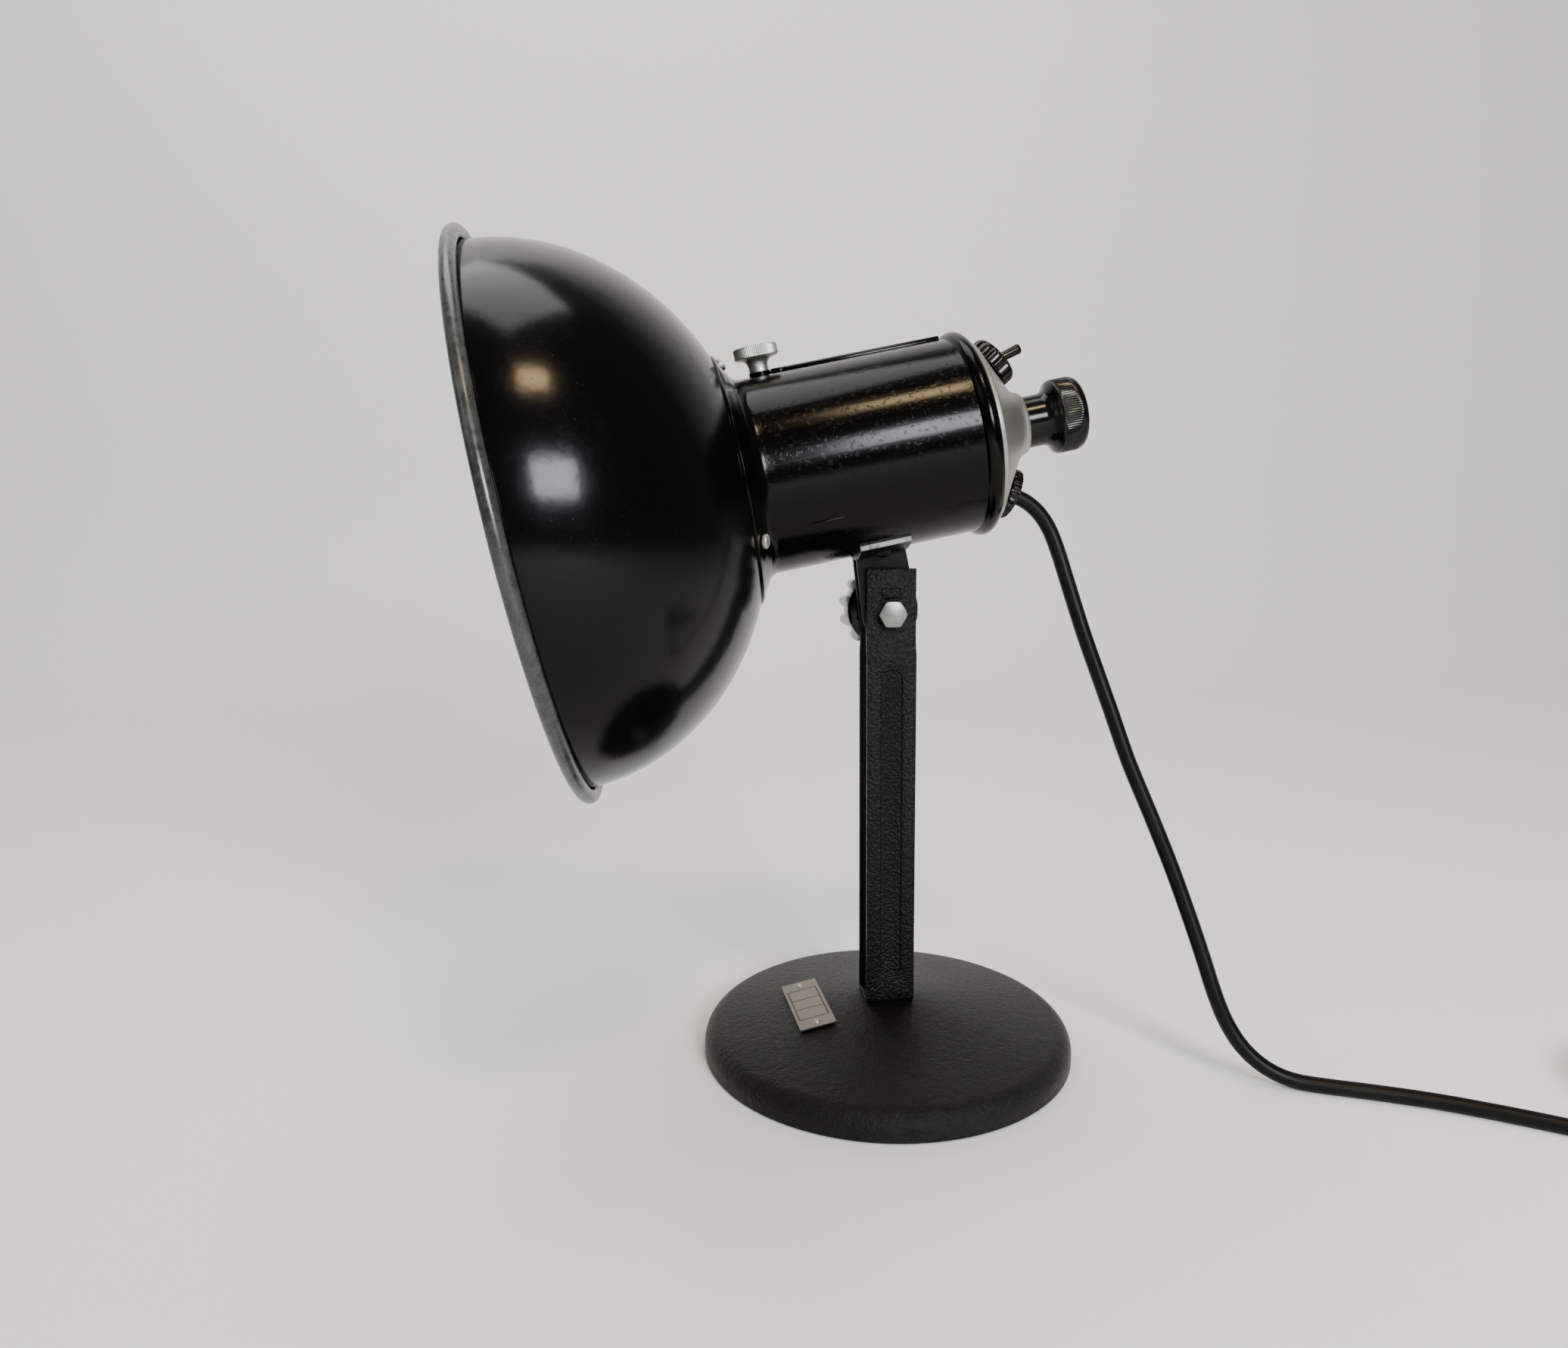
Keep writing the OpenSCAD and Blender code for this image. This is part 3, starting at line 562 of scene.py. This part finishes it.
phenolic = Finish("black_phenolic", (0.002, 0.002, 0.002), 0.22, shine=0.18)
cloud = phenolic.noise(120, 4, 0.6)
phenolic.colour(phenolic.mix(cloud, (0.0015, 0.0015, 0.0015), (0.004, 0.0037, 0.0033)))
phenolic.rough(0.09 + 0.12 * cloud)
phenolic.bump(phenolic.noise(700, 2), 0.00005, 0.4)
fit_on(softened("clamp_disc", "clamp_disc_turned", 0.3), phenolic, "clamp_disc")

cast_aluminium = Finish("cast_aluminium", (0.55, 0.55, 0.53), 0.42, metallic=1.0)
grain = cast_aluminium.noise(650, 4, 0.65)
cast_aluminium.colour(cast_aluminium.mix(grain, (0.40, 0.40, 0.385), (0.66, 0.66, 0.64)))
cast_aluminium.rough(0.32 + 0.25 * grain)
cast_aluminium.bump(grain, 0.0002, 0.5)
fit_on(softened("clamp_wheel", "lobed_wheel", 0.7), cast_aluminium, "clamp_wheel")

brass = Finish("brass", (0.62, 0.44, 0.17), 0.3, metallic=1.0)
patina = brass.noise(380, 4, 0.6)
brass.colour(brass.mix(patina, (0.42, 0.28, 0.10), (0.70, 0.52, 0.22)))
brass.rough(0.24 + 0.24 * patina)
dress(brass, "clamp_bush")


# ---------------------------------------------------------------- tilting bracket
# Pressed steel: two lugs for the hinge and a saddle riveted under the tube. A pale band
# of bare-metal grey is painted along the saddle's side edges as a highlight, broken up
# like worn paint.
bracket_enamel = Finish("bracket_enamel", (0.002, 0.002, 0.002), 0.34, shine=0.15)
speck = bracket_enamel.noise(950, 3, 0.6)
from_axis = bracket_enamel.turned(in_head)
across = bracket_enamel.part(from_axis, 1)
# Painted highlight: a pale band on the saddle's side edges, chosen by position and broken up by noise like
# worn paint.
wear_and_painted_highlight = (across * across).above(0.0233 ** 2, 0.0237 ** 2)
wear_and_painted_highlight = wear_and_painted_highlight * bracket_enamel.part(from_axis, 2).above(-0.0462, -0.0452)
wear_and_painted_highlight = wear_and_painted_highlight * bracket_enamel.noise(300, 4, 0.7).above(0.30, 0.46)
bracket_enamel.colour(bracket_enamel.mix(wear_and_painted_highlight, (0.002, 0.002, 0.002), (0.42, 0.41, 0.39)))
bracket_enamel.rough(0.26 + 0.28 * speck)
bracket_enamel.bump(speck, 0.0003, 0.7)
fit_on(softened("tilt_bracket", "saddle_bracket", 0.3), bracket_enamel, "tilt_bracket")


# ---------------------------------------------------------------- housing tube
# Drawn from sheet steel, with a flange at the front, a rolled bead at the rear and a
# raised channel on top that covers the guide slot. A short bead is pressed out low on its
# side. Gloss black lacquer, streaked with age.
lacquer = Finish("gloss_lacquer", (0.0015, 0.0015, 0.0015), 0.14, shine=0.12)
along = lacquer.turned(in_head, stretch=(0.03, 1, 1))
streak = lacquer.noise(1000, 4, 0.65, at=along)
blister = lacquer.noise(420, 4, 0.6).above(0.56, 0.70)
lacquer.rough(0.08 + 0.13 * streak + 0.14 * blister)
lacquer.colour(lacquer.mix(streak.above(0.5, 0.8), (0.001, 0.001, 0.001), (0.003, 0.0026, 0.002)))
on_tube = lacquer.turned(in_head)
tube_x = lacquer.part(on_tube, 0)
tube_y = lacquer.part(on_tube, 1)
seat_middle, seat_length, seat_width = -0.0385, 0.0100, 0.0068
from_screw = ((tube_x - seat_middle) / seat_length) ** 2.0 + (tube_y / seat_width) ** 2.0
seat = from_screw.above(0.75, 0.9) * (1 - from_screw.above(1.05, 1.25))
seat = seat * lacquer.part(on_tube, 2).above(0.040, 0.042)
lacquer.bump(streak * 0.14 - blister * 0.20 - seat * 2.0, 0.00022, 0.5)


bowl_depth, bowl_radius, rim_along = 116.49, 134.1, -168.0
tube_radius, tube_bore, flange_radius, screw_along = 49, 47.8, 62.65, -41.5


def bowl_along(radius):
    """Where the bowl's outside lies along the lamp, at a distance from its axis."""
    return rim_along + bowl_depth * sqrt(1 - (radius / bowl_radius) ** 2)


tube_outline = [(radius, bowl_along(radius) + 0.05) for radius in (49.5, 52, 54, 56, 58, 60, flange_radius)]
tube_outline += [(62.85, bowl_along(flange_radius) + 0.5), (62.8, bowl_along(flange_radius) + 1.0)]
tube_outline += [(60.5, bowl_along(60.5) + 1.25), (58, bowl_along(58) + 1.4), (55, bowl_along(55) + 1.9)]
tube_outline += [(53.3, -58.6), (52.0, -57.9), (51.0, -57.0), (50.2, -56.0), (49.5, -54.9), (49.1, -53.8)]
tube_outline += [(tube_radius, -52.6)] + [(tube_radius, -50 + 4 * k) for k in range(26)]
tube_outline += rounded((47.2, 56), 4.6, -66, 90, 14) + [(46.9, 60.6), (46.9, 58.8), (tube_bore, 58.8)]
tube_outline += [(tube_bore, 50 - 10 * k) for k in range(11)] + [(tube_bore, bowl_along(49.5) + 1.4)]
housing = spun("drawn_housing", tube_outline, along_lamp, steps=160)
cut_out(housing, block((84, 4.4, 5), (7, 0, 48.5), in_head))
clear()
bpy.ops.mesh.primitive_cylinder_add(vertices=32, radius=3.05 * mm, depth=8 * mm)
screw_cutter = bpy.context.object
screw_cutter.data.transform(in_head @ Matrix.Translation(Vector((screw_along, 0, 48)) * mm))
cut_out(housing, screw_cutter)
clear()
bpy.ops.mesh.primitive_uv_sphere_add(segments=32, ring_count=16, radius=mm)
dash = bpy.context.object
dash_spot, dash_half_size = Vector((-28.6, -41.5, -25.95)) * mm, (9.6, 0.75, 0.55)
dash_place = Matrix.Translation(dash_spot) @ Matrix.Rotation(radians(32), 4, "X")
dash.data.transform(in_head @ dash_place @ Matrix.Diagonal((*dash_half_size, 1)))
housing.select_set(True)
bpy.context.view_layer.objects.active = housing
bpy.ops.object.join()
bpy.ops.object.shade_smooth_by_angle(angle=radians(32))
fit_on(housing, lacquer, "housing_tube")
fit_on(softened("guide_channel", "slot_channel", 0.25), lacquer, "guide_channel")
dress(lacquer, "screw_boss", "bracket_rivets")


# ---------------------------------------------------------------- reflector
# A bowl spun from sheet steel, with its rim rolled outwards round to the back. It is
# enamelled gloss black outside and white inside. The rim is painted dark grey, partly as
# worn enamel and partly as a painted reflection of the pale wall.
def sheet_outline(path, thickness):
    """A closed outline of that thickness about an open path of (radius, height)."""
    outer, inner = [], []
    for k, point in enumerate(path):
        before, after = path[max(k - 1, 0)], path[min(k + 1, len(path) - 1)]
        run = sqrt((after[0] - before[0]) ** 2 + (after[1] - before[1]) ** 2)
        side = (-(after[1] - before[1]) / run * thickness / 2, (after[0] - before[0]) / run * thickness / 2)
        outer.append((point[0] + side[0], point[1] + side[1]))
        inner.append((point[0] - side[0], point[1] - side[1]))
    return outer + inner[::-1]


neck_angle, mouth_angle, arc_steps = 22.2, 89.6, 44
sheet, inset = 0.9, 0.5
bowl_path = []
for k in range(arc_steps + 1):
    angle = radians(neck_angle + (mouth_angle - neck_angle) * k / arc_steps)
    bowl_path.append(((bowl_radius - inset) * sin(angle), rim_along + (bowl_depth - inset) * cos(angle)))
curl_centre, curl_radius = (137.9, rim_along), 3.2
bowl_path += rounded(curl_centre, curl_radius, 196, 505, 26)
bowl = spun("spun_reflector", sheet_outline(bowl_path, sheet), along_lamp, steps=192)

black_enamel = Finish("black_enamel", (0.002, 0.002, 0.002), 0.16, shine=0.15)
peel = black_enamel.noise(110, 2)
dust = black_enamel.noise(1900, 2, 0.5).above(0.70, 0.78)
scuff = black_enamel.noise(46, 5, 0.7).above(0.60, 0.75)
black_enamel.rough(0.14 + 0.05 * peel + 0.10 * scuff + 0.25 * dust)
black_enamel.colour(black_enamel.mix(dust * 0.5, (0.0014, 0.0014, 0.0017), (0.02, 0.02, 0.02)))
black_enamel.bump(peel + dust * 0.2, 0.00022, 0.35)

white_enamel = Finish("white_enamel", (0.86, 0.85, 0.82), 0.22)
ageing = white_enamel.noise(28, 4, 0.6)
white_enamel.colour(white_enamel.mix(ageing, (0.90, 0.89, 0.87), (0.80, 0.78, 0.73)))
white_enamel.rough(0.16 + 0.2 * ageing)
white_enamel.bump(white_enamel.noise(110, 2), 0.0002, 0.3)

# The rim's dark grey is partly worn grey-green enamel and partly a painted reflection of the pale wall; the
# lighter rubbed patches are wear.
rim_wear_and_reflection_finish = Finish("rim_wear_and_painted_reflection", (0.03, 0.032, 0.032), 0.3)
rub = rim_wear_and_reflection_finish.noise(140, 5, 0.7).above(0.30, 0.80)
rim_wear_and_reflection_finish.colour(rim_wear_and_reflection_finish.mix(rub, (0.012, 0.013, 0.013), (0.060, 0.065, 0.063)))
rim_wear_and_reflection_finish.rough(0.18 + 0.28 * rub)
rim_wear_and_reflection_finish.bump(rub * 0.4 + rim_wear_and_reflection_finish.noise(500, 3) * 0.3, 0.00015, 0.5)
coat(bowl, black_enamel, white_enamel, rim_wear_and_reflection_finish)
to_lathe = along_lamp.inverted()
for face in bowl.data.polygons:
    middle, facing = to_lathe @ face.center, to_lathe.to_3x3() @ face.normal
    radius = sqrt(middle.x ** 2 + middle.y ** 2) / mm
    outwards = (middle.x * facing.x + middle.y * facing.y) / max(radius * mm, 1e-9)
    inside = facing.z < 0 if radius < 60 else outwards < 0
    if radius > bowl_radius + 0.3:
        face.material_index = 2
    elif inside:
        face.material_index = 1
fit_on(bowl, None, "reflector")

fit_on(softened("reflector_screws", "flange_screws", 0.15), nickel, "reflector_screws")
dress(nickel, "reflector_nuts")


# ---------------------------------------------------------------- rear cap
# A cone spun from aluminium sheet that closes the tube. It dishes in slightly towards a
# collar, which is the bearing for the focusing knob's sleeve. Satin, with fine turning lines.
satin = Finish("spun_satin", (0.42, 0.41, 0.38), 0.40, metallic=0.9)
rings = satin.noise(1500, 3, 0.6, at=satin.turned(in_head, stretch=(1, 0.004, 0.004)))
smudge = satin.noise(60, 4, 0.65)
satin.colour(satin.mix(smudge, (0.27, 0.26, 0.235), (0.43, 0.415, 0.385)))
satin.rough(0.28 + 0.14 * rings + 0.12 * smudge)
satin.bump(rings, 0.00014, 0.7)
cap_outline = [(46.2, 46), (47.7, 46), (47.7, 58.6), (46.6, 58.6), (46.5, 62.6), (46.2, 63.2), (45.7, 63.6)]
cap_outline += [(40, 67.0), (34, 70.7), (28.5, 74.2), (25, 76.5), (22.6, 77.9), (20.4, 79.3), (18.7, 80.7)]
cap_outline += [(17.5, 82.1), (16.6, 83.4), (16.15, 84.6), (15.9, 85.6), (15.5, 86.2), (14.8, 86.5)]
cap_outline += [(13.3, 86.5), (13.3, 76.5), (16.6, 76.5), (18.6, 78.4), (45.2, 61.8), (46.2, 58)]
fit_on(spun("spun_cap", cap_outline, along_lamp), satin, "rear_cap")


# ---------------------------------------------------------------- toggle switch
# A brown phenolic switch is mounted through the upper side of the cone. A ring nut with
# deep flutes holds it, and the short lever leans towards the rear.
def at_port(name, side):
    """The place of a fitting on the cone, with Z pointing out of it."""
    spot = Vector((port_along[name], 0, side * port_radius[name])) * mm
    return in_head @ Matrix.Translation(spot) @ Matrix.Rotation(pi / 2 - side * cap_slant, 4, "Y")


def picked(piece, wanted):
    """Opens a piece for editing with only the wanted points selected."""
    only(piece)
    bpy.ops.object.mode_set(mode="EDIT")
    bpy.ops.mesh.select_mode(type="VERT")
    bpy.ops.mesh.select_all(action="DESELECT")
    bpy.ops.object.mode_set(mode="OBJECT")
    for vertex in piece.data.vertices:
        vertex.select = wanted(vertex.co)
    bpy.ops.object.mode_set(mode="EDIT")


def fluted(piece, count, low, high, least, depth):
    """Every second group of columns is drawn in towards the axis, between two heights."""
    def in_groove(place):
        turn = ((atan2(place.y, place.x) / (2 * pi) + 0.001) * count) % 1
        outside = sqrt(place.x ** 2 + place.y ** 2) > least * mm
        return outside and low * mm < place.z < high * mm and turn < 0.49

    picked(piece, in_groove)
    bpy.ops.transform.resize(value=(1 - depth, 1 - depth, 1), center_override=(0, 0, 0))
    bpy.ops.mesh.select_all(action="SELECT")
    bpy.ops.mesh.normals_make_consistent(inside=False)
    bpy.ops.object.mode_set(mode="OBJECT")


brown = Finish("brown_phenolic", (0.006, 0.0035, 0.003), 0.2, shine=0.22)
swirl = brown.noise(150, 5, 0.65)
brown.colour(brown.mix(swirl, (0.003, 0.002, 0.0018), (0.010, 0.005, 0.004)))
brown.rough(0.09 + 0.14 * swirl)
brown.bump(brown.noise(800, 2), 0.00005, 0.4)
ring_outline = [(6.05, 0), (12.2, 0), (13, 0.8), (13, 2), (13, 5.2)]
ring_outline += rounded((10.4, 5.4), 2.6, 10, 90, 6) + [(6.05, 8)]
ring_flutes = 14
switch_ring = spun("fluted_ring", ring_outline, None, steps=ring_flutes * 8)
fluted(switch_ring, ring_flutes, 0.5, 6.9, 11.6, 0.085)
switch_ring.data.transform(at_port("switch", 1))
fit_on(switch_ring, brown, "switch_ring")
fit_on(softened("toggle_lever", "lever_tip", 0), brown, "toggle_lever")
dress(brown, "switch_body")


# ---------------------------------------------------------------- cord gland
# The cord comes in through a phenolic bush on the lower side of the cone. A thin ring
# with many flutes screws on to the bush from outside.
gland_outline = [(7.05, 0), (12.3, 0), (13, 0.7), (13, 1.4), (13, 3)]
gland_outline += rounded((11.4, 3.4), 1.6, 10, 90, 5) + [(7.05, gland_height)]
gland_flutes = 22
gland_ring = spun("gland_nut", gland_outline, None, steps=gland_flutes * 6)
fluted(gland_ring, gland_flutes, 0.4, 4.4, 12.2, 0.055)
gland_ring.data.transform(at_port("gland", -1))
fit_on(gland_ring, brown, "gland_ring")
dress(phenolic, "cord_gland")


# ---------------------------------------------------------------- wiring inside the tube
# The cord's two wires go to a porcelain block with brass screws, and on to the switch.
# They are sleeved in red-brown braid.
porcelain = Finish("porcelain", (0.82, 0.79, 0.72), 0.2)
glaze = porcelain.noise(160, 4)
porcelain.colour(porcelain.mix(glaze, (0.84, 0.82, 0.76), (0.74, 0.70, 0.61)))
porcelain.rough(0.12 + 0.2 * glaze)
dress(porcelain, "terminal_block")
dress(brass, "terminal_screws")
wire = Finish("wire_sleeve", (0.20, 0.07, 0.04), 0.6)
braid = wire.noise(1600, 3)
wire.colour(wire.mix(braid, (0.12, 0.04, 0.025), (0.28, 0.11, 0.065)))
wire.bump(braid, 0.0002, 0.7)
dress(wire, "internal_leads")


# ---------------------------------------------------------------- lock screw
# A turned thumbscrew of nickelled brass on top of the tube. Its rim has a fine straight
# knurl, and the screw grips the lampholder's carriage through the slot.
screw_outline = [(0, 47.8), (3, 47.8), (3, 50.75), (5, 50.75), (4.9, 53.4), (5.1, 54.6), (5.7, 55.8)]
screw_outline += [(6.8, 56.8), (8.4, 57.4), (10.4, 57.7), (10.8, 57.9), (11, 58.3), (11, 59), (11, 62)]
screw_outline += [(11, 62.6), (10.8, 63), (10.4, 63.2), (7, 63.2), (6.4, 63.0), (5.8, 63.2), (0, 63.2)]
screw_knurls = 76
lock_knob = spun("knurled_screw", screw_outline, None, steps=screw_knurls * 4)
fluted(lock_knob, screw_knurls, 58.1, 62.8, 10.7, 0.034)
lock_knob.data.transform(in_head @ Matrix.Translation((screw_along * mm, 0, 0)))
fit_on(lock_knob, nickel, "lock_screw")


# ---------------------------------------------------------------- focusing knob and rod
# A moulded phenolic knob with a long sleeve slides in the cap's collar. It is fixed to a
# steel rod that pushes and pulls the lampholder.
knob_outline = [(5.05, 60), (12.6, 60), (13.2, 60.6), (13.2, 96), (13.35, 97.4), (13.9, 98.9), (14.9, 100.3)]
knob_outline += [(16.2, 101.3), (17.4, 102), (18.2, 102.7), (18.7, 103.5), (18.8, 104.2), (18.8, 105)]
knob_outline += [(18.8, 111.6), (18.8, 112.6)] + rounded((14.9, 113.2), 3.9, 12, 84, 8)
knob_outline += [(12, 117.4), (11.4, 117.75), (6, 118), (0, 118), (0, 112), (5.05, 112)]
knob_flutes = 100
knob = spun("push_pull_knob", knob_outline, None, steps=knob_flutes * 4)
fluted(knob, knob_flutes, 103.9, 112.4, 18.3, 0.024)
knob.data.transform(along_lamp)
fit_on(knob, phenolic, "focus_knob")
dress(plain_steel, "focus_rod", "knob_nut")


# ---------------------------------------------------------------- lampholder and its carriage
# A porcelain lampholder with a brass screw shell sits on a steel carriage that slides in
# the tube, and a key on the carriage runs in the guide slot.
dress(plain_steel, "socket_carriage", "guide_key")
dress(porcelain, "lampholder")
dress(brass, "screw_shell", "centre_contact")


# ---------------------------------------------------------------- bulb
# A large opal bulb with a round head and a tapering neck, cemented into a screw cap. Its
# glass is glossy and milky white.
opal = Finish("opal_glass", (0.93, 0.92, 0.88), 0.16, coat=0.6)
milk = opal.noise(35, 3)
opal.colour(opal.mix(milk, (0.94, 0.93, 0.90), (0.87, 0.85, 0.80)))
opal.rough(0.12 + 0.1 * milk)
bulb_outline = [(0, -62), (13.6, -62), (13.7, -64), (14.0, -66.5), (15.0, -70), (16.9, -74.5), (19.6, -79.2)]
bulb_outline += rounded((0, -112), 37, 55, -90, 36)[:-1] + [(0, -149)]
fit_on(spun("opal_bulb", bulb_outline, along_lamp), opal, "bulb_glass")
cap_thread = [(0, -36.1), (4.5, -36.1), (6, -38), (12.2, -40)]
cap_thread += [(12.55 + 0.5 * cos(pi * k / 3), -40.6 - 0.6 * k) for k in range(30)]
cap_thread += [(12.9, -60.5), (13.05, -62), (0, -62)]
fit_on(spun("bulb_screw_cap", cap_thread, along_lamp, 64), nickel, "bulb_cap")
